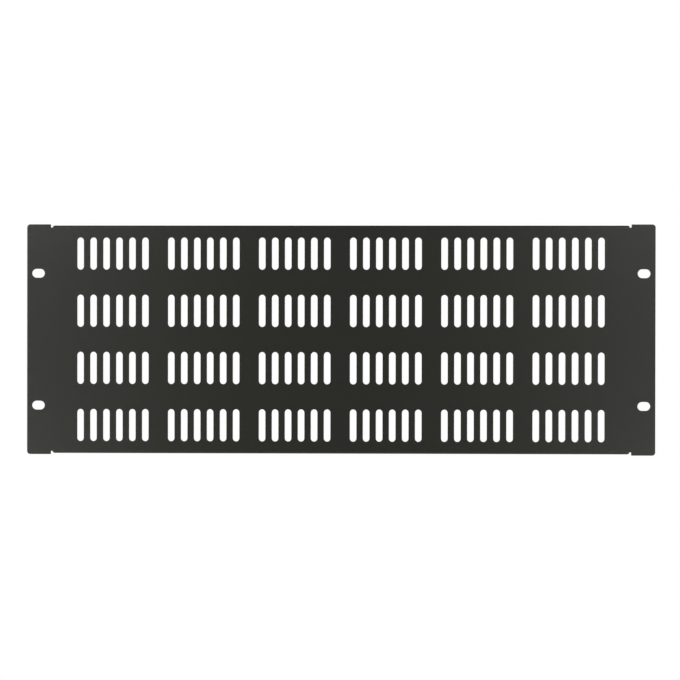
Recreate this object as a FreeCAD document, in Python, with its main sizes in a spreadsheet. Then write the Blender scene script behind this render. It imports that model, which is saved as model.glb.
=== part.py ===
import FreeCAD, Part
import math
import os
import Sketcher

# A vented blanking panel for a 19 inch rack, four rack units high, punched and
# folded from one sheet of steel and powder coated.
#
# X runs along the width, Z is up, and Y points into the rack, so the front face
# looks along -Y. The origin is the middle of the four rack slots on the back
# face, the plane that meets the rack's rails.

# Millimetres, with angles in degrees. The vents fill the flat of the panel with
# as many groups and rows as fit inside the two vent margins.
SIZES = {
    "panel_width": 482.6,
    "panel_height": 177.0,
    "sheet_thickness": 1.2,
    "corner_radius": 2.3,
    "ear_width": 18.35,
    "flange_depth": 12.0,
    "flange_inset": 0.8,
    "bend_inner_radius": 0.5,
    "relief_width": 1.25,
    "relief_radius": 0.6,
    "mitre_angle": 45.0,
    "vent_width": 5.0,
    "vent_length": 24.8,
    "vent_pitch": 10.0,
    "vents_in_group": 6,
    "group_pitch": 70.0,
    "row_pitch": 44.0,
    "vent_side_margin": 16.0,
    "vent_bend_margin": 5.0,
    "rack_slot_width": 6.8,
    "rack_slot_length": 9.8,
    "rack_slot_end_distance": 8.75,
    "rack_slot_edge_distance": 37.7,
}

# Dimensions that follow from the sizes, as expressions that the document keeps.
BEND_OUTER_RADIUS = "(Sizes.bend_inner_radius + Sizes.sheet_thickness)"
FLANGE_TOP = "(Sizes.panel_height / 2 - Sizes.flange_inset)"
BEND_LINE = f"({FLANGE_TOP} - {BEND_OUTER_RADIUS})"
EAR_INNER_EDGE = "(Sizes.panel_width / 2 - Sizes.ear_width)"
FLANGE_END = f"({EAR_INNER_EDGE} - Sizes.relief_width)"
MITRE_SETBACK = "Sizes.flange_depth * tan(Sizes.mitre_angle * 1 deg)"

GROUP_WIDTH = "((Sizes.vents_in_group - 1) * Sizes.vent_pitch + Sizes.vent_width)"
VENTED_WIDTH = f"(2 * ({EAR_INNER_EDGE} - Sizes.vent_side_margin))"
GROUP_COUNT = f"floor(({VENTED_WIDTH} - {GROUP_WIDTH}) / Sizes.group_pitch + 1)"
VENTED_HEIGHT = f"(2 * ({BEND_LINE} - Sizes.vent_bend_margin))"
ROW_COUNT = f"floor(({VENTED_HEIGHT} - Sizes.vent_length) / Sizes.row_pitch + 1)"
FIRST_VENT_ACROSS = (
    f"((({GROUP_COUNT}) - 1) * Sizes.group_pitch"
    " + (Sizes.vents_in_group - 1) * Sizes.vent_pitch) / 2"
)
FIRST_VENT_DOWN = f"((({ROW_COUNT}) - 1) * Sizes.row_pitch) / 2"

RACK_SLOT_ACROSS = "Sizes.panel_width / 2 - Sizes.rack_slot_end_distance"
RACK_SLOT_UP = "Sizes.panel_height / 2 - Sizes.rack_slot_edge_distance"

# Sketcher's own numbers for the origin, the upright axis and the places on an edge.
ORIGIN = (-1, 1)
VERTICAL_AXIS = -2
START, END, CENTRE = 1, 2, 3


def add_sizes(document):
    """The spreadsheet that drives every feature of the panel."""
    sheet = document.addObject("Spreadsheet::Sheet", "Sizes")
    for row, (name, value) in enumerate(SIZES.items(), start=1):
        sheet.set(f"A{row}", name)
        sheet.set(f"B{row}", str(value))
        sheet.setAlias(f"B{row}", name)
    document.recompute()


def origin_part(body, role):
    """A plane or an axis of the body's own origin."""
    return next(item for item in body.Origin.OriginFeatures if item.Role == role)


def add_sketch(body, name, role):
    """An empty sketch on one of the body's origin planes."""
    sketch = body.newObject("Sketcher::SketchObject", name)
    sketch.AttachmentSupport = [(origin_part(body, role), "")]
    sketch.MapMode = "FlatFace"
    return sketch


def number(holder, expression):
    """What an expression comes to with the present sizes."""
    return float(holder.evalExpression(expression))


def relate(sketch, kind, *places):
    """A constraint without a size."""
    sketch.addConstraint(Sketcher.Constraint(kind, *places))


def dimension(sketch, name, expression, kind, *places):
    """A named constraint whose size the spreadsheet drives."""
    size = number(sketch, expression)
    index = sketch.addConstraint(Sketcher.Constraint(kind, *places, size))
    sketch.renameConstraint(index, name)
    sketch.setExpression(f"Constraints.{name}", expression)


def add_arc(sketch, centre, radius, first_angle, turn):
    """An arc that starts at an angle in degrees and turns anticlockwise."""
    circle = Part.Circle(centre, FreeCAD.Vector(0, 0, 1), radius)
    first = math.radians(first_angle)
    return sketch.addGeometry(Part.ArcOfCircle(circle, first, first + math.radians(turn)))


def add_line(sketch, first, last):
    """A straight line between two vectors."""
    return sketch.addGeometry(Part.LineSegment(first, last))


def add_polygon(sketch, corners):
    """Closed run of lines through the corners, joined end to start."""
    points = [FreeCAD.Vector(across, up, 0) for across, up in corners]
    lines = [
        add_line(sketch, first, last) for first, last in zip(points, points[1:] + points[:1])
    ]
    for line, following in zip(lines, lines[1:] + lines[:1]):
        relate(sketch, "Coincident", line, END, following, START)
    return lines


def add_obround(sketch, width, length, across, up, upright):
    """A round-ended slot with its middle at (across, up), all given as expressions."""
    radius = number(sketch, width) / 2
    half_straight = (number(sketch, length) - number(sketch, width)) / 2
    middle = FreeCAD.Vector(number(sketch, across), number(sketch, up), 0)
    lean = 90 if upright else 0
    turned = FreeCAD.Rotation(FreeCAD.Vector(0, 0, 1), lean)

    def place(along, aside):
        return middle + turned.multVec(FreeCAD.Vector(along, aside, 0))

    near_side = add_line(sketch, place(-half_straight, -radius), place(half_straight, -radius))
    far_end = add_arc(sketch, place(half_straight, 0), radius, lean - 90, 180)
    far_side = add_line(sketch, place(half_straight, radius), place(-half_straight, radius))
    near_end = add_arc(sketch, place(-half_straight, 0), radius, lean + 90, 180)
    run = (near_side, far_end, far_side, near_end)
    for edge, following in zip(run, run[1:] + run[:1]):
        relate(sketch, "Tangent", edge, END, following, START)
    relate(sketch, "Equal", near_end, far_end)
    relate(sketch, "Vertical" if upright else "Horizontal", near_side)

    centre = sketch.addGeometry(Part.Point(middle))
    relate(sketch, "Symmetric", near_end, CENTRE, far_end, CENTRE, centre, START)
    dimension(sketch, "width", width, "Diameter", far_end)
    along = "DistanceY" if upright else "DistanceX"
    straight = f"{length} - {width}"
    dimension(sketch, "straight", straight, along, near_end, CENTRE, far_end, CENTRE)
    return centre


def add_pocket(body, name, sketch):
    """Cuts the sketch right through, towards the side that its plane faces."""
    pocket = body.newObject("PartDesign::Pocket", name)
    pocket.Profile = sketch
    pocket.Type = "ThroughAll"
    pocket.Reversed = True
    body.Document.recompute()
    if not pocket.Shape.Volume < pocket.BaseFeature.Shape.Volume:
        raise RuntimeError(f"{name} cuts nothing")
    return pocket


def add_fillet(body, name, base, radius, chosen):
    """Rounds the edges along Y that the test picks by their place (x, z)."""
    fillet = body.newObject("PartDesign::Fillet", name)
    edges = [
        f"Edge{place}"
        for place, edge in enumerate(base.Shape.Edges, start=1)
        if is_along_y(edge) and chosen(edge.CenterOfMass.x, edge.CenterOfMass.z)
    ]
    fillet.Base = (base, edges)
    fillet.setExpression("Radius", radius)
    body.Document.recompute()
    return fillet


def is_along_y(edge):
    """Whether a straight edge runs through the thickness of the sheet."""
    return edge.BoundBox.YLength > max(edge.BoundBox.XLength, edge.BoundBox.ZLength)


def add_blank(body):
    """The flat sheet over both ears, with its outer corners rounded."""
    sketch = add_sketch(body, "blank_outline", "XZ_Plane")
    half_width = number(sketch, "Sizes.panel_width / 2")
    half_height = number(sketch, "Sizes.panel_height / 2")
    bottom, right, top, left = add_polygon(
        sketch,
        [
            (-half_width, -half_height),
            (half_width, -half_height),
            (half_width, half_height),
            (-half_width, half_height),
        ],
    )
    for line in (bottom, top):
        relate(sketch, "Horizontal", line)
    for line in (left, right):
        relate(sketch, "Vertical", line)
    relate(sketch, "Symmetric", bottom, START, right, END, *ORIGIN)
    dimension(sketch, "width", "Sizes.panel_width", "DistanceX", bottom, START, bottom, END)
    dimension(sketch, "height", "Sizes.panel_height", "DistanceY", right, START, right, END)

    blank = body.newObject("PartDesign::Pad", "blank")
    blank.Profile = sketch
    blank.setExpression("Length", "Sizes.sheet_thickness")
    body.Document.recompute()
    return add_fillet(body, "blank_corners", blank, "Sizes.corner_radius", lambda x, z: True)


def add_reliefs(body):
    """Takes the sheet away between the ears beyond the two bend lines.

    What is left of these cuts beside the ears, once the flanges are folded up,
    is the four bend relief notches, each with a rounded corner at its ear.
    """
    sketch = add_sketch(body, "relief_outline", "XZ_Plane")
    half_width = number(sketch, EAR_INNER_EDGE)
    bend_line = number(sketch, BEND_LINE)
    past_edge = number(sketch, "Sizes.panel_height")
    bottom, right, top, left = add_polygon(
        sketch,
        [
            (-half_width, bend_line),
            (half_width, bend_line),
            (half_width, past_edge),
            (-half_width, past_edge),
        ],
    )
    relate(sketch, "Vertical", right)
    relate(sketch, "Symmetric", bottom, START, bottom, END, VERTICAL_AXIS)
    relate(sketch, "Symmetric", top, END, top, START, VERTICAL_AXIS)
    dimension(sketch, "ear_inner_edge", EAR_INNER_EDGE, "DistanceX", *ORIGIN, bottom, END)
    dimension(sketch, "bend_line", BEND_LINE, "DistanceY", *ORIGIN, bottom, END)
    dimension(sketch, "past_edge", "Sizes.panel_height", "DistanceY", *ORIGIN, top, START)

    relief = add_pocket(body, "upper_relief", sketch)
    reliefs = body.newObject("PartDesign::Mirrored", "reliefs")
    reliefs.Originals = [relief]
    reliefs.MirrorPlane = (origin_part(body, "XY_Plane"), [""])
    body.Tip = reliefs
    body.Document.recompute()

    def at_ear(x, z):
        return abs(abs(x) - half_width) < 0.01 and abs(abs(z) - bend_line) < 0.01

    return add_fillet(body, "relief_corners", reliefs, "Sizes.relief_radius", at_ear)


def add_flanges(body):
    """Two stiffening flanges folded back at the bend lines, with mitred ends."""
    sketch = add_sketch(body, "flange_section", "YZ_Plane")
    thickness = number(sketch, "Sizes.sheet_thickness")
    inner_radius = number(sketch, "Sizes.bend_inner_radius")
    outer_radius = number(sketch, BEND_OUTER_RADIUS)
    bend_line = number(sketch, BEND_LINE)
    top = number(sketch, FLANGE_TOP)
    free_edge = number(sketch, "Sizes.flange_depth") - thickness
    bend_centre = FreeCAD.Vector(inner_radius, bend_line, 0)

    def line(first, last):
        return add_line(sketch, FreeCAD.Vector(*first, 0), FreeCAD.Vector(*last, 0))

    root = line((-thickness, bend_line), (0, bend_line))
    inner_bend = add_arc(sketch, bend_centre, inner_radius, 90, 90)
    inner_face = line((inner_radius, top - thickness), (free_edge, top - thickness))
    edge_face = line((free_edge, top - thickness), (free_edge, top))
    outer_face = line((free_edge, top), (inner_radius, top))
    outer_bend = add_arc(sketch, bend_centre, outer_radius, 90, 90)

    relate(sketch, "Coincident", root, END, inner_bend, END)
    relate(sketch, "Tangent", inner_bend, START, inner_face, START)
    relate(sketch, "Coincident", inner_face, END, edge_face, START)
    relate(sketch, "Coincident", edge_face, END, outer_face, START)
    relate(sketch, "Tangent", outer_face, END, outer_bend, START)
    relate(sketch, "Coincident", outer_bend, END, root, START)
    relate(sketch, "Coincident", inner_bend, CENTRE, outer_bend, CENTRE)
    relate(sketch, "Horizontal", root)
    relate(sketch, "Horizontal", inner_face)
    relate(sketch, "Vertical", edge_face)
    relate(sketch, "Horizontal", outer_face)
    relate(sketch, "Horizontal", root, END, inner_bend, CENTRE)
    relate(sketch, "PointOnObject", root, END, VERTICAL_AXIS)
    dimension(sketch, "bend_radius", "Sizes.bend_inner_radius", "Radius", inner_bend)
    dimension(sketch, "thickness", "Sizes.sheet_thickness", "DistanceX", root, START, root, END)
    dimension(
        sketch, "depth", "Sizes.flange_depth", "DistanceX", root, START, edge_face, END
    )
    dimension(sketch, "flange_top", FLANGE_TOP, "DistanceY", *ORIGIN, edge_face, END)

    flange = body.newObject("PartDesign::Pad", "upper_flange")
    flange.Profile = sketch
    flange.SideType = "Symmetric"
    flange.setExpression("Length", f"2 * {FLANGE_END}")
    body.Document.recompute()

    mitre = add_pocket(body, "upper_mitres", add_mitre_sketch(body))
    flanges = body.newObject("PartDesign::Mirrored", "flanges")
    flanges.Originals = [flange, mitre]
    flanges.MirrorPlane = (origin_part(body, "XY_Plane"), [""])
    body.Tip = flanges
    body.Document.recompute()


def add_mitre_sketch(body):
    """Plan view of what is cut off the two ends of the upper flange and its bend."""
    sketch = add_sketch(body, "mitre_outline", "XY_Plane")
    sketch.setExpression("AttachmentOffset.Base.z", BEND_LINE)
    end = number(sketch, FLANGE_END)
    front = -number(sketch, "Sizes.sheet_thickness")
    depth = number(sketch, "Sizes.flange_depth")
    setback = number(sketch, MITRE_SETBACK)
    right_end, right_edge, _ = add_polygon(
        sketch, [(end, front), (end, front + depth), (end - setback, front + depth)]
    )
    _, left_edge, left_end = add_polygon(
        sketch, [(-end, front), (setback - end, front + depth), (-end, front + depth)]
    )
    relate(sketch, "Vertical", right_end)
    relate(sketch, "Horizontal", right_edge)
    relate(sketch, "Symmetric", right_end, START, left_end, END, VERTICAL_AXIS)
    relate(sketch, "Symmetric", right_end, END, left_end, START, VERTICAL_AXIS)
    relate(sketch, "Symmetric", right_edge, END, left_edge, START, VERTICAL_AXIS)
    dimension(sketch, "flange_end", FLANGE_END, "DistanceX", *ORIGIN, right_end, START)
    dimension(
        sketch, "front_face", "Sizes.sheet_thickness", "DistanceY", right_end, START, *ORIGIN
    )
    dimension(
        sketch, "depth", "Sizes.flange_depth", "DistanceY", right_end, START, right_end, END
    )
    dimension(
        sketch, "setback", MITRE_SETBACK, "DistanceX", right_edge, END, right_edge, START
    )
    return sketch


def add_rack_slots(body):
    """The four fixing slots in the ears, level, so that the panel can shift sideways."""
    sketch = add_sketch(body, "rack_slot_outline", "XZ_Plane")
    centre = add_obround(
        sketch,
        "Sizes.rack_slot_width",
        "Sizes.rack_slot_length",
        RACK_SLOT_ACROSS,
        RACK_SLOT_UP,
        upright=False,
    )
    dimension(sketch, "across", RACK_SLOT_ACROSS, "DistanceX", *ORIGIN, centre, START)
    dimension(sketch, "up", RACK_SLOT_UP, "DistanceY", *ORIGIN, centre, START)
    slot = add_pocket(body, "first_rack_slot", sketch)

    other_ear = body.newObject("PartDesign::Mirrored", "other_ear")
    other_ear.MirrorPlane = (origin_part(body, "YZ_Plane"), [""])
    lower_half = body.newObject("PartDesign::Mirrored", "lower_half")
    lower_half.MirrorPlane = (origin_part(body, "XY_Plane"), [""])
    slots = body.newObject("PartDesign::MultiTransform", "rack_slots")
    slots.Originals = [slot]
    slots.Transformations = [other_ear, lower_half]
    body.Tip = slots
    body.Document.recompute()


def add_spacing(body, name, role, pitch, count):
    """One direction of the vent field: even steps along an axis of the origin."""
    pattern = body.newObject("PartDesign::LinearPattern", name)
    pattern.Direction = (origin_part(body, role), [""])
    pattern.Mode = "Spacing"
    pattern.setExpression("Offset", pitch)
    pattern.setExpression("Occurrences", count)
    return pattern


def add_vents(body):
    """Upright vents, in groups side by side and in rows one above the other."""
    sketch = add_sketch(body, "vent_outline", "XZ_Plane")
    centre = add_obround(
        sketch,
        "Sizes.vent_width",
        "Sizes.vent_length",
        f"-({FIRST_VENT_ACROSS})",
        f"-({FIRST_VENT_DOWN})",
        upright=True,
    )
    dimension(sketch, "across", FIRST_VENT_ACROSS, "DistanceX", centre, START, *ORIGIN)
    dimension(sketch, "down", FIRST_VENT_DOWN, "DistanceY", centre, START, *ORIGIN)
    vent = add_pocket(body, "first_vent", sketch)

    vents = body.newObject("PartDesign::MultiTransform", "vents")
    vents.Originals = [vent]
    vents.Transformations = [
        add_spacing(body, "group", "X_Axis", "Sizes.vent_pitch", "Sizes.vents_in_group"),
        add_spacing(body, "groups", "X_Axis", "Sizes.group_pitch", GROUP_COUNT),
        add_spacing(body, "rows", "Z_Axis", "Sizes.row_pitch", ROW_COUNT),
    ]
    body.Tip = vents
    body.Document.recompute()


def check(document, body):
    """Stops before anything is written if a feature failed or the sheet isn't whole."""
    for item in document.Objects:
        if {"Invalid", "Error"} & set(item.State):
            raise RuntimeError(f"{item.Name} is {item.State}")
    if body.Shape.isNull() or not body.Shape.isValid():
        raise RuntimeError(f"{body.Label} has no valid shape")
    if len(body.Shape.Solids) != 1:
        raise RuntimeError(f"{body.Label} is {len(body.Shape.Solids)} solids, not one")


def main():
    document = FreeCAD.newDocument("RackPanel")
    add_sizes(document)
    panel = document.addObject("PartDesign::Body", "Panel")
    panel.Label = "vented_panel"
    panel.Placement = FreeCAD.Placement()
    add_blank(panel)
    add_reliefs(panel)
    add_flanges(panel)
    add_rack_slots(panel)
    add_vents(panel)
    check(document, panel)
    os.makedirs("parts", exist_ok=True)
    panel.Shape.exportStep(os.path.join("parts", f"{panel.Label}.step"))
    box = panel.Shape.BoundBox
    print(f"{panel.Label}: {box.XLength:.2f} x {box.YLength:.2f} x {box.ZLength:.2f} mm")
    print(f"volume {panel.Shape.Volume:.0f} mm3")


main()
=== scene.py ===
"""A vented blanking panel for an equipment rack.

It is punched and folded from one steel sheet, and powder coated.
"""

import math

import bpy
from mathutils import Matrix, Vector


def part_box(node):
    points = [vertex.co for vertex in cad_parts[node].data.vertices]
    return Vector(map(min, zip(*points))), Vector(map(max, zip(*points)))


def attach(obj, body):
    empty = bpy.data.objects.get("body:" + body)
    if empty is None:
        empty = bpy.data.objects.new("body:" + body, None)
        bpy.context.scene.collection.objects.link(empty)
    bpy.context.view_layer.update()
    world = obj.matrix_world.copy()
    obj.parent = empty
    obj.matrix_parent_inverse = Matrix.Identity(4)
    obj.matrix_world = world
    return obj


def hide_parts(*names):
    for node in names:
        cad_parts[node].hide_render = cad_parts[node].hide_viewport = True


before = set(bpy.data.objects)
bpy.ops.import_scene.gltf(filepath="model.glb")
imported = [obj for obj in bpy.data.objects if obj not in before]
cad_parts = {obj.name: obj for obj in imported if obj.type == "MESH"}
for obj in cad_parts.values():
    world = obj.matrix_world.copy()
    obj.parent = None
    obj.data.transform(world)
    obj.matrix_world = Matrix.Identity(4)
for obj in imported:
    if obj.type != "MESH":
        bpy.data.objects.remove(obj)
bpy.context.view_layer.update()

bl_info = {
    "name": "Vented rack blanking panel",
    "version": (1, 0, 0),
    "blender": (4, 5, 0),
    "location": "3D View > Sidebar > Rack Panel",
    "description": "Builds a punched, folded and powder coated rack panel on its studio stage",
    "category": "Object",
}

# The frame's own box gives the overall sizes. Its origin lies on the back face of the sheet.
NODE = "vented_panel"
NODE_LOW, NODE_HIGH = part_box(NODE)
MM = 0.001

WHITE = "#FFFFFF"
QUARTER_TURN = math.pi / 2

# Points nearer to each other than this are one point.
SAME_PLACE = 0.01 * MM
# How far past its own end a flange still folds, so that the end itself folds with it.
PAST_FLANGE_END = 0.1 * MM
# An edge that turns more sharply than this is a cut edge, which the coat rounds.
CUT_EDGE_ANGLE = math.radians(35)

# Nearly all values of a noise pattern lie between these two.
NOISE_RANGE = (0.3, 0.7)

# Share of the floor's look that is its own white. The lamps light the rest.
FLOOR_OWN_WHITE = 0.7
# Share of the floor's radius at which it starts to fade.
FLOOR_FADE_START = 0.5
FLOOR_SIDES = 64
# How far into the rack a mirrored ray has to point before all that it meets is white.
BACKDROP_REACH = 0.3

# The camera's place in metres, its turn in degrees, and its lens and sensor in millimetres.
CAMERA_PLACE = (0.0215, -1.2294, 0.0047)
CAMERA_TURN = (90 - 0.232, -0.081, 1.011)
CAMERA_LENS = 84.7
CAMERA_SENSOR = 36

# Soft lamps that stand in mirrored pairs, in metres and watts: the name, the place of the
# right-hand one, its width and height, and its power.
LAMP_PAIRS = (
    ("front_upper", (0.70, -1.32, 0.55), (0.35, 0.60), 4.3),
    ("front_lower", (0.70, -1.32, -0.45), (0.35, 0.60), 2.7),
    ("front_side", (1.18, -0.92, 0.50), (0.80, 1.20), 8.5),
    ("rear", (1.10, 1.20, 0.50), (1.00, 1.40), 13.0),
)


# --------------------------------------------------------------------------- properties


class RACKPANEL_PG_sheet(bpy.types.PropertyGroup):
    """The sheet's outline, folds and punched openings."""

    width: bpy.props.FloatProperty(
        name="Width",
        description="Overall width across both ears",
        default=NODE_HIGH.x - NODE_LOW.x,
        unit="LENGTH",
    )
    height: bpy.props.FloatProperty(
        name="Height",
        description="Overall height at the ears",
        default=NODE_HIGH.z - NODE_LOW.z,
        unit="LENGTH",
    )
    thickness: bpy.props.FloatProperty(
        name="Thickness",
        description="Thickness of the coated sheet",
        default=-NODE_LOW.y,
        unit="LENGTH",
    )
    corner_radius: bpy.props.FloatProperty(
        name="Corner radius",
        description="Radius of the four outer corners",
        default=2.3 * MM,
        unit="LENGTH",
    )
    ear_width: bpy.props.FloatProperty(
        name="Ear width",
        description="Width of the flat ear at each end",
        default=18.35 * MM,
        unit="LENGTH",
    )
    flange_depth: bpy.props.FloatProperty(
        name="Flange depth",
        description="Depth of the folded flanges over the front face",
        default=NODE_HIGH.y - NODE_LOW.y,
        unit="LENGTH",
    )
    flange_inset: bpy.props.FloatProperty(
        name="Flange inset",
        description="How far the flanges lie inside the tops of the ears",
        default=0.8 * MM,
        unit="LENGTH",
    )
    bend_inner_radius: bpy.props.FloatProperty(
        name="Bend radius",
        description="Radius inside the two folds",
        default=0.5 * MM,
        unit="LENGTH",
    )
    relief_width: bpy.props.FloatProperty(
        name="Relief width",
        description="Width of the notch between an ear and a flange",
        default=1.25 * MM,
        unit="LENGTH",
    )
    relief_radius: bpy.props.FloatProperty(
        name="Relief radius",
        description="Radius of the notch's corner at the ear",
        default=0.6 * MM,
        unit="LENGTH",
    )
    mitre_angle: bpy.props.FloatProperty(
        name="Mitre angle",
        description="Angle at which the ends of the flanges are cut back",
        default=math.radians(45),
        subtype="ANGLE",
    )
    vent_width: bpy.props.FloatProperty(
        name="Vent width",
        description="Width of one upright vent",
        default=5.0 * MM,
        unit="LENGTH",
    )
    vent_length: bpy.props.FloatProperty(
        name="Vent length",
        description="Length of one upright vent over its round ends",
        default=24.8 * MM,
        unit="LENGTH",
    )
    vent_pitch: bpy.props.FloatProperty(
        name="Vent pitch",
        description="Step from one vent to the next inside a group",
        default=10.0 * MM,
        unit="LENGTH",
    )
    vents_in_group: bpy.props.IntProperty(
        name="Vents in a group",
        description="Number of vents side by side in one group",
        default=6,
        min=1,
    )
    group_pitch: bpy.props.FloatProperty(
        name="Group pitch",
        description="Step from one group of vents to the next",
        default=70.0 * MM,
        unit="LENGTH",
    )
    groups: bpy.props.IntProperty(
        name="Groups",
        description="Number of groups side by side",
        default=6,
        min=1,
    )
    row_pitch: bpy.props.FloatProperty(
        name="Row pitch",
        description="Step from one row of vents to the next",
        default=44.0 * MM,
        unit="LENGTH",
    )
    rows: bpy.props.IntProperty(
        name="Rows",
        description="Number of rows of vents",
        default=4,
        min=1,
    )
    slot_width: bpy.props.FloatProperty(
        name="Rack slot width",
        description="Height of the level fixing slots, across their round ends",
        default=6.8 * MM,
        unit="LENGTH",
    )
    slot_length: bpy.props.FloatProperty(
        name="Rack slot length",
        description="Length of the level fixing slots over their round ends",
        default=9.8 * MM,
        unit="LENGTH",
    )
    slot_end_distance: bpy.props.FloatProperty(
        name="Rack slot end distance",
        description="From the end of the panel to the middle of a fixing slot",
        default=8.75 * MM,
        unit="LENGTH",
    )
    slot_edge_distance: bpy.props.FloatProperty(
        name="Rack slot edge distance",
        description="From the top of an ear to the middle of a fixing slot",
        default=37.7 * MM,
        unit="LENGTH",
    )
    edge_rounding: bpy.props.FloatProperty(
        name="Edge rounding",
        description="How far the coat rounds each punched or cut edge",
        default=0.2 * MM,
        unit="LENGTH",
    )
    round_steps: bpy.props.IntProperty(
        name="Round steps",
        description="Straight steps in a quarter turn of an outline",
        default=4,
        min=2,
    )
    bend_steps: bpy.props.IntProperty(
        name="Bend steps",
        description="Straight steps in one fold",
        default=8,
        min=2,
    )


class RACKPANEL_PG_coat(bpy.types.PropertyGroup):
    """The powder coat."""

    colour: bpy.props.StringProperty(
        name="Colour",
        description="Colour of the coat, as an sRGB hex value",
        default="#171810",
    )
    thin_colour: bpy.props.StringProperty(
        name="Thin film colour",
        description="Colour where the film is a little thinner",
        default="#1A1B13",
    )
    roughness: bpy.props.FloatProperty(
        name="Roughness",
        description="Roughness of the satin film",
        default=0.34,
        subtype="FACTOR",
    )
    roughness_spread: bpy.props.FloatProperty(
        name="Roughness spread",
        description="How far the grit raises and lowers the roughness",
        default=0.03,
    )
    tone_size: bpy.props.FloatProperty(
        name="Tone size",
        description="Width of one patch of thinner or thicker film",
        default=60.0 * MM,
        unit="LENGTH",
    )
    ior: bpy.props.FloatProperty(
        name="Index of refraction",
        description="Index of refraction of the polyester resin",
        default=1.5,
    )
    grit_size: bpy.props.FloatProperty(
        name="Grit size",
        description="Size of the fine grit left by the fused powder",
        default=0.6 * MM,
        unit="LENGTH",
    )
    grit_height: bpy.props.FloatProperty(
        name="Grit height",
        description="Height of the fine grit",
        default=0.03 * MM,
        unit="LENGTH",
    )
    peel_size: bpy.props.FloatProperty(
        name="Orange peel size",
        description="Width of one soft wave of the film",
        default=3.4 * MM,
        unit="LENGTH",
    )
    peel_height: bpy.props.FloatProperty(
        name="Orange peel height",
        description="Height of the soft waves of the film",
        default=0.03 * MM,
        unit="LENGTH",
    )


class RACKPANEL_PG_stage(bpy.types.PropertyGroup):
    """The floor, the room and the level of the lamps."""

    floor_colour: bpy.props.StringProperty(
        name="Floor colour",
        description="Colour of the floor's paper, as an sRGB hex value",
        default="#F4F4F2",
    )
    floor_drop: bpy.props.FloatProperty(
        name="Floor drop",
        description="From the middle of the panel down to the floor",
        default=0.45,
        unit="LENGTH",
    )
    floor_radius: bpy.props.FloatProperty(
        name="Floor radius",
        description="Radius at which the round floor has faded into the white room",
        default=0.85,
        unit="LENGTH",
    )
    room_level: bpy.props.FloatProperty(
        name="Room level",
        description="Light that the plain room gives from every side",
        default=0.1,
    )
    left_level: bpy.props.FloatProperty(
        name="Left level",
        description="Share of their own powers that the left-hand lamps give",
        default=1.0,
        min=0.0,
    )
    right_level: bpy.props.FloatProperty(
        name="Right level",
        description="Share of their own powers that the right-hand lamps give",
        default=1.08,
        min=0.0,
    )


# --------------------------------------------------------------------------- shared helpers


def linear(colour):
    """A linear colour with full alpha, from an sRGB hex value such as #171810."""
    channels = [int(colour[place : place + 2], 16) / 255 for place in (1, 3, 5)]
    return [
        channel / 12.92 if channel <= 0.04045 else ((channel + 0.055) / 1.055) ** 2.4
        for channel in channels
    ] + [1.0]


def add_node(tree, kind, inputs=None, **settings):
    """Adds a node, with its settings, and sets or links its inputs by their name or place."""
    node = tree.nodes.new(kind)
    for name, value in settings.items():
        setattr(node, name, value)
    for name, value in (inputs or {}).items():
        if isinstance(value, bpy.types.NodeSocket):
            tree.links.new(value, node.inputs[name])
        elif isinstance(value, (list, tuple)) and value and isinstance(value[0], bpy.types.NodeSocket):
            for socket in value:
                tree.links.new(socket, node.inputs[name])
        else:
            node.inputs[name].default_value = value
    return node


def new_geometry_tree(name, sizes):
    """An empty geometry tree with a named input for each size, and one geometry output."""
    tree = bpy.data.node_groups.new(name, "GeometryNodeTree")
    for label, kind in sizes:
        tree.interface.new_socket(label, in_out="INPUT", socket_type=kind)
    tree.interface.new_socket("Geometry", in_out="OUTPUT", socket_type="NodeSocketGeometry")
    return tree


# --------------------------------------------------------------------------- the powder coat


def powder_coat(coat):
    """Satin black polyester powder coat, sprayed dry and fused in an oven.

    The resin gives a soft gloss of a plain dielectric over a near black body. The
    fused powder leaves a fine grit, and the film flows into faint, wider waves.
    """
    material = bpy.data.materials.new("satin_black_powder_coat")
    material.use_nodes = True
    tree = material.node_tree
    tree.nodes.clear()
    place = add_node(tree, "ShaderNodeTexCoord").outputs["Object"]

    # Each pattern's scale comes from a real size. The grit of a fine-textured coat is about
    # 0.3 mm across, too fine to show at this distance, so it is drawn twice as coarse.
    tone, grit, peel = (
        add_node(
            tree,
            "ShaderNodeTexNoise",
            {"Vector": place, "Scale": 1 / size, "Detail": detail, "Roughness": roughness},
        ).outputs["Fac"]
        for size, detail, roughness in (
            (coat.tone_size, 3.0, 0.5),
            (coat.grit_size, 1.5, 0.6),
            (coat.peel_size, 1.0, 0.4),
        )
    )
    body = add_node(
        tree,
        "ShaderNodeMix",
        {"Factor": tone, "A": linear(coat.colour), "B": linear(coat.thin_colour)},
        data_type="RGBA",
    )
    gloss = add_node(
        tree,
        "ShaderNodeMapRange",
        {
            "Value": grit,
            "From Min": NOISE_RANGE[0],
            "From Max": NOISE_RANGE[1],
            "To Min": coat.roughness - coat.roughness_spread,
            "To Max": coat.roughness + coat.roughness_spread,
        },
    )
    waves = add_node(
        tree,
        "ShaderNodeBump",
        {"Strength": 1.0, "Distance": coat.peel_height, "Height": peel},
    )
    grain = add_node(
        tree,
        "ShaderNodeBump",
        {
            "Strength": 1.0,
            "Distance": coat.grit_height,
            "Height": grit,
            "Normal": waves.outputs["Normal"],
        },
    )
    film = add_node(
        tree,
        "ShaderNodeBsdfPrincipled",
        {
            "Base Color": body.outputs["Result"],
            "Roughness": gloss.outputs["Result"],
            "IOR": coat.ior,
            "Metallic": 0.0,
            "Normal": grain.outputs["Normal"],
        },
    )
    add_node(tree, "ShaderNodeOutputMaterial", {"Surface": film.outputs["BSDF"]})
    return material


# --------------------------------------------------------------------------- the sheet


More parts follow.
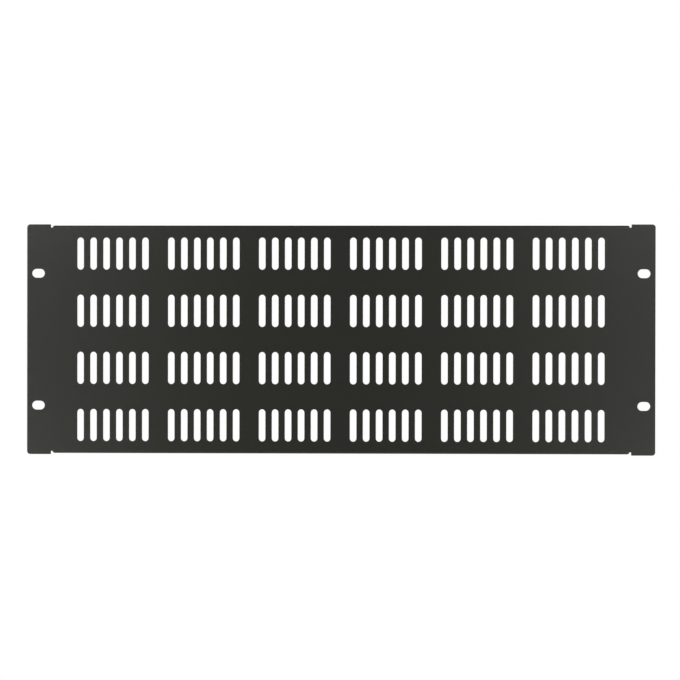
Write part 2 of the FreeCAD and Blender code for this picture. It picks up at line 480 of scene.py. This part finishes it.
def obround_tree():
    """The outline of a round-ended punch, with its middle at the origin."""
    tree = new_geometry_tree(
        "obround_punch",
        (
            ("Across", "NodeSocketFloat"),
            ("Up", "NodeSocketFloat"),
            ("End Radius", "NodeSocketFloat"),
            ("Round Steps", "NodeSocketInt"),
        ),
    )
    given = add_node(tree, "NodeGroupInput").outputs
    oblong = add_node(
        tree,
        "GeometryNodeCurvePrimitiveQuadrilateral",
        {"Width": given["Across"], "Height": given["Up"]},
        mode="RECTANGLE",
    )
    rounded = add_node(
        tree,
        "GeometryNodeFilletCurve",
        {
            "Curve": oblong.outputs["Curve"],
            "Count": given["Round Steps"],
            "Radius": given["End Radius"],
        },
        mode="POLY",
    )
    add_node(tree, "NodeGroupOutput", {"Geometry": rounded.outputs["Curve"]})
    return tree


def punched_blank_tree():
    """Punches a flat outline, adds the flange strips and gives the blank its thickness."""
    tree = new_geometry_tree(
        "punched_blank",
        (
            ("Outline", "NodeSocketGeometry"),
            ("Thickness", "NodeSocketFloat"),
            ("Bend Line", "NodeSocketFloat"),
            ("Bend Radius", "NodeSocketFloat"),
            ("Flange Depth", "NodeSocketFloat"),
            ("Flange End", "NodeSocketFloat"),
            ("Bend Steps", "NodeSocketInt"),
            ("Round Steps", "NodeSocketInt"),
            ("Vent Width", "NodeSocketFloat"),
            ("Vent Length", "NodeSocketFloat"),
            ("Vent Pitch", "NodeSocketFloat"),
            ("Vents In Group", "NodeSocketInt"),
            ("Group Pitch", "NodeSocketFloat"),
            ("Groups", "NodeSocketInt"),
            ("Row Pitch", "NodeSocketFloat"),
            ("Rows", "NodeSocketInt"),
            ("Slot Width", "NodeSocketFloat"),
            ("Slot Length", "NodeSocketFloat"),
            ("Slots Across", "NodeSocketFloat"),
            ("Slots Up", "NodeSocketFloat"),
            ("Material", "NodeSocketMaterial"),
        ),
    )
    given = add_node(tree, "NodeGroupInput").outputs
    web = add_punched_web(tree, given)
    upper, lower = add_flange_strips(tree, given)
    joined = add_node(tree, "GeometryNodeJoinGeometry", {"Geometry": [web, upper, lower]})
    blank = add_node(
        tree,
        "GeometryNodeMergeByDistance",
        {"Geometry": joined.outputs["Geometry"], "Distance": SAME_PLACE},
    ).outputs["Geometry"]
    front = add_node(
        tree,
        "GeometryNodeExtrudeMesh",
        {"Mesh": blank, "Offset": (0, 0, 1), "Offset Scale": given["Thickness"], "Individual": False},
        mode="FACES",
    ).outputs["Mesh"]
    back = add_node(tree, "GeometryNodeFlipFaces", {"Mesh": blank}).outputs["Mesh"]
    both = add_node(tree, "GeometryNodeJoinGeometry", {"Geometry": [front, back]})
    solid = add_node(
        tree,
        "GeometryNodeMergeByDistance",
        {"Geometry": both.outputs["Geometry"], "Distance": SAME_PLACE},
    ).outputs["Geometry"]
    return finished_tree(tree, solid, given)


def folded_blank_tree():
    """Folds the flanges of the flat blank back, and shades the sheet smoothly."""
    tree = new_geometry_tree(
        "folded_blank",
        (
            ("Blank", "NodeSocketGeometry"),
            ("Thickness", "NodeSocketFloat"),
            ("Bend Line", "NodeSocketFloat"),
            ("Bend Radius", "NodeSocketFloat"),
            ("Flange End", "NodeSocketFloat"),
            ("Mitre Slope", "NodeSocketFloat"),
            ("Material", "NodeSocketMaterial"),
        ),
    )
    given = add_node(tree, "NodeGroupInput").outputs
    folded = add_node(
        tree,
        "GeometryNodeSetPosition",
        {"Geometry": given["Blank"], "Position": add_fold_rule(tree, given)},
    ).outputs["Geometry"]
    smooth = add_node(tree, "GeometryNodeSetShadeSmooth", {"Geometry": folded})
    return finished_tree(tree, smooth.outputs["Geometry"], given)


def finished_tree(tree, geometry, given):
    """Ends a tree with plain geometry that carries its material."""
    real = add_node(tree, "GeometryNodeRealizeInstances", {"Geometry": geometry})
    coated = add_node(
        tree,
        "GeometryNodeSetMaterial",
        {"Geometry": real.outputs["Geometry"], "Material": given["Material"]},
    )
    add_node(tree, "NodeGroupOutput", {"Geometry": coated.outputs["Geometry"]})
    return tree


def repeat_on_grid(tree, shape, columns, rows, width, height):
    """Copies of a shape on a grid of columns and rows, with the grid's middle at the origin."""
    places = add_node(
        tree,
        "GeometryNodeMeshGrid",
        {"Size X": width, "Size Y": height, "Vertices X": columns, "Vertices Y": rows},
    )
    copies = add_node(
        tree,
        "GeometryNodeInstanceOnPoints",
        {"Points": places.outputs["Mesh"], "Instance": shape},
    )
    return copies.outputs["Instances"]


def add_punched_web(tree, given):
    """The flat front between the bend lines, with its ears, vents and fixing slots."""
    edge = add_node(tree, "GeometryNodeMeshToCurve", {"Mesh": given["Outline"]})
    radius = add_node(
        tree, "GeometryNodeInputNamedAttribute", {"Name": "corner_radius"}, data_type="FLOAT"
    )
    outline = add_node(
        tree,
        "GeometryNodeFilletCurve",
        {
            "Curve": edge.outputs["Curve"],
            "Count": given["Round Steps"],
            "Radius": radius.outputs["Attribute"],
        },
        mode="POLY",
    )

    spans = {}
    for count, pitch in (
        ("Vents In Group", "Vent Pitch"),
        ("Groups", "Group Pitch"),
        ("Rows", "Row Pitch"),
    ):
        steps = add_node(tree, "ShaderNodeMath", {0: given[count], 1: 1.0}, operation="SUBTRACT")
        spans[pitch] = add_node(
            tree, "ShaderNodeMath", {0: steps.outputs[0], 1: given[pitch]}, operation="MULTIPLY"
        ).outputs[0]

    punch = obround_tree()
    cuts = []
    for across, up, width in (
        (given["Vent Width"], given["Vent Length"], given["Vent Width"]),
        (given["Slot Length"], given["Slot Width"], given["Slot Width"]),
    ):
        radius = add_node(tree, "ShaderNodeMath", {0: width, 1: 2.0}, operation="DIVIDE")
        cut = add_node(
            tree,
            "GeometryNodeGroup",
            {
                "Across": across,
                "Up": up,
                "End Radius": radius.outputs[0],
                "Round Steps": given["Round Steps"],
            },
            node_tree=punch,
        )
        cuts.append(cut.outputs["Geometry"])
    vent, slot = cuts

    group = repeat_on_grid(tree, vent, given["Vents In Group"], 1, spans["Vent Pitch"], 0.0)
    vents = repeat_on_grid(
        tree, group, given["Groups"], given["Rows"], spans["Group Pitch"], spans["Row Pitch"]
    )
    slots = repeat_on_grid(tree, slot, 2, 2, given["Slots Across"], given["Slots Up"])
    edges = add_node(
        tree, "GeometryNodeJoinGeometry", {"Geometry": [outline.outputs["Curve"], vents, slots]}
    )
    real = add_node(
        tree, "GeometryNodeRealizeInstances", {"Geometry": edges.outputs["Geometry"]}
    )
    filled = add_node(
        tree, "GeometryNodeFillCurve", {"Curve": real.outputs["Geometry"]}, mode="TRIANGLES"
    )
    return filled.outputs["Mesh"]


def add_flange_strips(tree, given):
    """The two flat strips beyond the bend lines: the stretch that bends, then the flange itself."""
    width = add_node(
        tree, "ShaderNodeMath", {0: given["Flange End"], 1: 2.0}, operation="MULTIPLY"
    ).outputs[0]
    bend_length = add_node(
        tree, "ShaderNodeMath", {0: given["Bend Radius"], 1: QUARTER_TURN}, operation="MULTIPLY"
    ).outputs[0]
    leaf_length = add_node(
        tree,
        "ShaderNodeMath",
        {0: given["Flange Depth"], 1: given["Bend Radius"]},
        operation="SUBTRACT",
    ).outputs[0]
    leaf_start = add_node(
        tree, "ShaderNodeMath", {0: given["Bend Line"], 1: bend_length}, operation="ADD"
    ).outputs[0]
    rows = add_node(
        tree, "ShaderNodeMath", {0: given["Bend Steps"], 1: 1.0}, operation="ADD"
    ).outputs[0]

    strips = []
    for start, length, row_count in (
        (given["Bend Line"], bend_length, rows),
        (leaf_start, leaf_length, 2),
    ):
        strip = add_node(
            tree,
            "GeometryNodeMeshGrid",
            {"Size X": width, "Size Y": length, "Vertices X": 2, "Vertices Y": row_count},
        )
        middle = add_node(
            tree,
            "ShaderNodeMath",
            {0: length, 1: 0.5, 2: start},
            operation="MULTIPLY_ADD",
        )
        place = add_node(tree, "ShaderNodeCombineXYZ", {"Y": middle.outputs[0]})
        moved = add_node(
            tree,
            "GeometryNodeTransform",
            {"Geometry": strip.outputs["Mesh"], "Translation": place.outputs["Vector"]},
        )
        strips.append(moved.outputs["Geometry"])
    upper = add_node(tree, "GeometryNodeJoinGeometry", {"Geometry": strips}).outputs["Geometry"]
    lower = add_node(
        tree, "GeometryNodeTransform", {"Geometry": upper, "Rotation": (0, 0, math.pi)}
    ).outputs["Geometry"]
    return upper, lower


def add_fold_rule(tree, given):
    """Where each point of the flat blank lies once the flanges are folded back.

    The blank lies face up: X across, Y up the panel, Z out of its front face. Past
    the bend line a point between the ears turns about the bend's centre and then
    runs straight back, and the ends of what is folded lean in by the mitre.
    """
    place = add_node(
        tree,
        "ShaderNodeSeparateXYZ",
        {"Vector": add_node(tree, "GeometryNodeInputPosition").outputs["Position"]},
    ).outputs
    steps = {"across": place["X"], "up": place["Y"], "out": place["Z"]}
    for name in ("Thickness", "Bend Line", "Bend Radius", "Flange End", "Mitre Slope"):
        steps[name.lower()] = given[name]

    rule = (
        ("depth", "SUBTRACT", "thickness", "out"),
        ("distance", "ABSOLUTE", "up"),
        ("side", "SIGN", "up"),
        ("aside", "ABSOLUTE", "across"),
        ("clear of ear", "ADD", "flange end", PAST_FLANGE_END),
        ("between ears", "LESS_THAN", "aside", "clear of ear"),
        ("beyond", "SUBTRACT", "distance", "bend line"),
        ("above bend", "MAXIMUM", "beyond", 0.0),
        ("past", "MULTIPLY", "above bend", "between ears"),
        ("flat part", "SUBTRACT", "distance", "past"),
        ("wound", "DIVIDE", "past", "bend radius"),
        ("turn", "MINIMUM", "wound", QUARTER_TURN),
        ("bent", "MULTIPLY", "turn", "bend radius"),
        ("run", "SUBTRACT", "past", "bent"),
        ("arm", "SUBTRACT", "bend radius", "depth"),
        ("cosine", "COSINE", "turn"),
        ("sine", "SINE", "turn"),
        ("forward", "MULTIPLY", "arm", "cosine"),
        ("rise", "MULTIPLY", "arm", "sine"),
        ("sunk", "SUBTRACT", "bend radius", "forward"),
        ("behind front", "ADD", "sunk", "run"),
        ("back", "SUBTRACT", "behind front", "thickness"),
        ("reach", "ADD", "flat part", "rise"),
        ("height", "MULTIPLY", "reach", "side"),
        ("folded", "GREATER_THAN", "past", SAME_PLACE),
        ("setback", "MULTIPLY", "behind front", "mitre slope"),
        ("share", "DIVIDE", "setback", "flange end"),
        ("lean", "MULTIPLY", "share", "folded"),
        ("kept", "SUBTRACT", 1.0, "lean"),
        ("mitred", "MULTIPLY", "across", "kept"),
    )
    for name, operation, *values in rule:
        inputs = {
            number: steps[value] if isinstance(value, str) else value
            for number, value in enumerate(values)
        }
        steps[name] = add_node(tree, "ShaderNodeMath", inputs, operation=operation).outputs[0]
    return add_node(
        tree,
        "ShaderNodeCombineXYZ",
        {"X": steps["mitred"], "Y": steps["back"], "Z": steps["height"]},
    ).outputs["Vector"]


def sheet_outline(sheet, bend_line, flange_end):
    """The web's outline as a ring of corners, each with the radius that rounds it."""
    ear_inner_edge = sheet.width / 2 - sheet.ear_width
    quarter = [
        (sheet.width / 2, sheet.height / 2, sheet.corner_radius),
        (ear_inner_edge, sheet.height / 2, 0.0),
        (ear_inner_edge, bend_line, sheet.relief_radius),
        (flange_end, bend_line, 0.0),
    ]
    upper_half = quarter + [(-across, up, radius) for across, up, radius in reversed(quarter)]
    ring = upper_half + [(across, -up, radius) for across, up, radius in reversed(upper_half)]

    mesh = bpy.data.meshes.new("sheet_outline")
    mesh.from_pydata(
        [(across, up, 0) for across, up, _ in ring],
        [(place, (place + 1) % len(ring)) for place in range(len(ring))],
        [],
    )
    rounding = mesh.attributes.new("corner_radius", "FLOAT", "POINT")
    rounding.data.foreach_set("value", [radius for _, _, radius in ring])
    return mesh


def make_folded_sheet(sheet, material):
    """The punched and folded sheet as one closed mesh, in the frame's own place."""
    bend_radius = sheet.bend_inner_radius + sheet.thickness
    bend_line = sheet.height / 2 - sheet.flange_inset - bend_radius
    flange_end = sheet.width / 2 - sheet.ear_width - sheet.relief_width
    piece = bpy.data.objects.new("folded_sheet", sheet_outline(sheet, bend_line, flange_end))
    bpy.context.scene.collection.objects.link(piece)

    values = {
        "Thickness": sheet.thickness,
        "Bend Line": bend_line,
        "Bend Radius": bend_radius,
        "Flange Depth": sheet.flange_depth,
        "Flange End": flange_end,
        "Mitre Slope": math.tan(sheet.mitre_angle),
        "Bend Steps": sheet.bend_steps,
        "Round Steps": sheet.round_steps,
        "Vent Width": sheet.vent_width,
        "Vent Length": sheet.vent_length,
        "Vent Pitch": sheet.vent_pitch,
        "Vents In Group": sheet.vents_in_group,
        "Group Pitch": sheet.group_pitch,
        "Groups": sheet.groups,
        "Row Pitch": sheet.row_pitch,
        "Rows": sheet.rows,
        "Slot Width": sheet.slot_width,
        "Slot Length": sheet.slot_length,
        "Slots Across": sheet.width - 2 * sheet.slot_end_distance,
        "Slots Up": sheet.height - 2 * sheet.slot_edge_distance,
        "Material": material,
    }
    add_nodes_modifier(piece, punched_blank_tree(), values)
    # The edges are rounded while the blank is flat, so the folds carry the rounding with them.
    rounding = piece.modifiers.new("coated_edges", "BEVEL")
    rounding.width = sheet.edge_rounding
    rounding.segments = 1
    rounding.limit_method = "ANGLE"
    rounding.angle_limit = CUT_EDGE_ANGLE
    rounding.use_clamp_overlap = False
    rounding.loop_slide = False
    add_nodes_modifier(piece, folded_blank_tree(), values)
    # The largest faces set the normals, so the smooth shading of the folds stays off flat metal.
    shading = piece.modifiers.new("flat_faces_stay_flat", "WEIGHTED_NORMAL")
    shading.weight = 100
    shading.thresh = 0.0
    return made_plain(piece)


def add_nodes_modifier(piece, tree, values):
    """Adds the tree as a modifier, and sets each of its inputs that has a value by name."""
    modifier = piece.modifiers.new(tree.name, "NODES")
    modifier.node_group = tree
    for socket in tree.interface.items_tree:
        if socket.in_out == "INPUT" and socket.name in values:
            modifier[socket.identifier] = values[socket.name]


def made_plain(piece):
    """The piece with its modifiers' result as its own mesh, and no modifier left."""
    evaluated = piece.evaluated_get(bpy.context.evaluated_depsgraph_get())
    mesh = bpy.data.meshes.new_from_object(evaluated)
    outline = piece.data
    piece.modifiers.clear()
    piece.data = mesh
    bpy.data.meshes.remove(outline)
    mesh.name = piece.name
    return piece


class RACKPANEL_OT_fold_sheet(bpy.types.Operator):
    """Punch, fold and powder coat the sheet in place of the plain solid"""

    bl_idname = "rack_panel.fold_sheet"
    bl_label = "Fold the sheet"

    def execute(self, context):
        sheet = context.scene.rack_panel_sheet
        piece = make_folded_sheet(sheet, powder_coat(context.scene.rack_panel_coat))
        if not piece.data.polygons:
            raise RuntimeError("the folded sheet has no faces")
        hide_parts(NODE)
        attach(piece, "root")
        return {"FINISHED"}


# --------------------------------------------------------------------------- the stage


def seen_ray(tree):
    """The two kinds of ray that show a background: the camera's, and those in gloss and glass."""
    path = add_node(tree, "ShaderNodeLightPath").outputs
    mirrored = add_node(
        tree,
        "ShaderNodeMath",
        {0: path["Is Glossy Ray"], 1: path["Is Transmission Ray"]},
        operation="MAXIMUM",
    )
    return path["Is Camera Ray"], mirrored.outputs[0]


def light_room(stage):
    """A plain pale room with a white sheet behind the panel, as far as the eye can tell."""
    world = bpy.data.worlds.new("studio_room")
    bpy.context.scene.world = world
    world.use_nodes = True
    tree = world.node_tree
    tree.nodes.clear()
    direction = add_node(tree, "ShaderNodeTexCoord").outputs["Generated"]
    into_rack = add_node(tree, "ShaderNodeSeparateXYZ", {"Vector": direction}).outputs["Y"]
    behind = add_node(
        tree,
        "ShaderNodeMapRange",
        {"Value": into_rack, "From Min": 0.0, "From Max": BACKDROP_REACH},
    ).outputs["Result"]
    straight, mirrored = seen_ray(tree)
    screened = add_node(tree, "ShaderNodeMath", {0: mirrored, 1: behind}, operation="MULTIPLY")
    shown = add_node(
        tree, "ShaderNodeMath", {0: straight, 1: screened.outputs[0]}, operation="MAXIMUM"
    )
    room = add_node(
        tree, "ShaderNodeBackground", {"Color": linear(WHITE), "Strength": stage.room_level}
    )
    white = add_node(tree, "ShaderNodeBackground", {"Color": linear(WHITE), "Strength": 1.0})
    mixed = add_node(
        tree,
        "ShaderNodeMixShader",
        {
            "Fac": shown.outputs[0],
            1: room.outputs["Background"],
            2: white.outputs["Background"],
        },
    )
    add_node(tree, "ShaderNodeOutputWorld", {"Surface": mixed.outputs["Shader"]})


def floor_finish(stage):
    """Matt white paper that fades into the room at its rim.

    Part of what the eye sees is its own white, and the rest is lit by the lamps, so
    that it keeps the panel's shadow. From below it lets the panel show through.
    """
    material = bpy.data.materials.new("matt_white_paper")
    material.use_nodes = True
    tree = material.node_tree
    tree.nodes.clear()
    paper = add_node(tree, "ShaderNodeBsdfDiffuse", {"Color": linear(stage.floor_colour)})
    glow = add_node(tree, "ShaderNodeEmission", {"Color": linear(WHITE), "Strength": 1.0})
    straight, mirrored = seen_ray(tree)
    shown = add_node(tree, "ShaderNodeMath", {0: straight, 1: mirrored}, operation="MAXIMUM")
    share = add_node(
        tree, "ShaderNodeMath", {0: shown.outputs[0], 1: FLOOR_OWN_WHITE}, operation="MULTIPLY"
    )
    lit = add_node(
        tree,
        "ShaderNodeMixShader",
        {"Fac": share.outputs[0], 1: paper.outputs["BSDF"], 2: glow.outputs["Emission"]},
    )

    place = add_node(tree, "ShaderNodeTexCoord").outputs["Object"]
    flat_place = add_node(
        tree, "ShaderNodeVectorMath", {0: place, 1: (1, 1, 0)}, operation="MULTIPLY"
    )
    distance = add_node(
        tree, "ShaderNodeVectorMath", {0: flat_place.outputs["Vector"]}, operation="LENGTH"
    )
    rim = add_node(
        tree,
        "ShaderNodeMapRange",
        {
            "Value": distance.outputs["Value"],
            "From Min": FLOOR_FADE_START * stage.floor_radius,
            "From Max": stage.floor_radius,
        },
        interpolation_type="SMOOTHSTEP",
    )
    under = add_node(tree, "ShaderNodeNewGeometry").outputs["Backfacing"]
    absent = add_node(
        tree, "ShaderNodeMath", {0: rim.outputs["Result"], 1: under}, operation="MAXIMUM"
    )
    clear = add_node(tree, "ShaderNodeBsdfTransparent")
    seen = add_node(
        tree,
        "ShaderNodeMixShader",
        {"Fac": absent.outputs[0], 1: lit.outputs["Shader"], 2: clear.outputs["BSDF"]},
    )
    add_node(tree, "ShaderNodeOutputMaterial", {"Surface": seen.outputs["Shader"]})
    return material


def add_floor(stage):
    """A plain round floor under the panel."""
    mesh = bpy.data.meshes.new("floor")
    turns = [2 * math.pi * side / FLOOR_SIDES for side in range(FLOOR_SIDES)]
    mesh.from_pydata(
        [
            (
                stage.floor_radius * math.cos(turn),
                stage.floor_radius * math.sin(turn),
                -stage.floor_drop,
            )
            for turn in turns
        ],
        [],
        [range(FLOOR_SIDES)],
    )
    mesh.materials.append(floor_finish(stage))
    floor = bpy.data.objects.new("floor", mesh)
    bpy.context.scene.collection.objects.link(floor)


def add_softbox(name, place, size, power):
    """A tall soft lamp that faces the middle of the panel and stays out of sight."""
    lamp = bpy.data.lights.new(name, "AREA")
    lamp.shape = "RECTANGLE"
    lamp.size, lamp.size_y = size
    lamp.energy = power
    holder = bpy.data.objects.new(name, lamp)
    holder.location = place
    holder.rotation_euler = holder.location.to_track_quat("Z", "Y").to_euler()
    holder.visible_camera = False
    bpy.context.scene.collection.objects.link(holder)


def add_camera():
    """The camera, square on to the front face and a little to the right of its middle."""
    lens = bpy.data.cameras.new("camera")
    lens.sensor_width = CAMERA_SENSOR
    lens.lens = CAMERA_LENS
    camera = bpy.data.objects.new("camera", lens)
    camera.location = CAMERA_PLACE
    camera.rotation_euler = [math.radians(angle) for angle in CAMERA_TURN]
    bpy.context.scene.collection.objects.link(camera)
    bpy.context.scene.camera = camera


class RACKPANEL_OT_build_stage(bpy.types.Operator):
    """Set up the pale floor, the soft lamps and the camera"""

    bl_idname = "rack_panel.build_stage"
    bl_label = "Build the stage"

    def execute(self, context):
        stage = context.scene.rack_panel_stage
        light_room(stage)
        add_floor(stage)
        for name, (across, along, up), size, power in LAMP_PAIRS:
            for side, place, level in (
                ("left", -across, stage.left_level),
                ("right", across, stage.right_level),
            ):
                add_softbox(f"{name}_{side}", (place, along, up), size, power * level)
        add_camera()
        context.scene.view_settings.view_transform = "Standard"
        return {"FINISHED"}


# --------------------------------------------------------------------------- the sidebar


class RACKPANEL_PT_sidebar(bpy.types.Panel):
    """Sizes, finish and stage of the rack panel"""

    bl_label = "Rack Panel"
    bl_idname = "RACKPANEL_PT_sidebar"
    bl_space_type = "VIEW_3D"
    bl_region_type = "UI"
    bl_category = "Rack Panel"

    def draw(self, context):
        for group, operator in (
            (context.scene.rack_panel_sheet, RACKPANEL_OT_fold_sheet),
            (context.scene.rack_panel_coat, None),
            (context.scene.rack_panel_stage, RACKPANEL_OT_build_stage),
        ):
            box = self.layout.box()
            for name in group.bl_rna.properties.keys():
                if name not in ("rna_type", "name"):
                    box.prop(group, name)
            if operator:
                box.operator(operator.bl_idname)


CLASSES = (
    RACKPANEL_PG_sheet,
    RACKPANEL_PG_coat,
    RACKPANEL_PG_stage,
    RACKPANEL_OT_fold_sheet,
    RACKPANEL_OT_build_stage,
    RACKPANEL_PT_sidebar,
)
GROUPS = {
    "rack_panel_sheet": RACKPANEL_PG_sheet,
    "rack_panel_coat": RACKPANEL_PG_coat,
    "rack_panel_stage": RACKPANEL_PG_stage,
}


def register():
    """Registers the classes, and gives every scene their sizes and colours."""
    for item in CLASSES:
        bpy.utils.register_class(item)
    for name, group in GROUPS.items():
        setattr(bpy.types.Scene, name, bpy.props.PointerProperty(type=group))


def unregister():
    """Takes back what register gave."""
    for name in GROUPS:
        delattr(bpy.types.Scene, name)
    for item in reversed(CLASSES):
        bpy.utils.unregister_class(item)


def main():
    """Registers the classes, and builds the panel and its stage."""
    register()
    bpy.ops.rack_panel.fold_sheet()
    bpy.ops.rack_panel.build_stage()


if __name__ == "__main__":
    main()
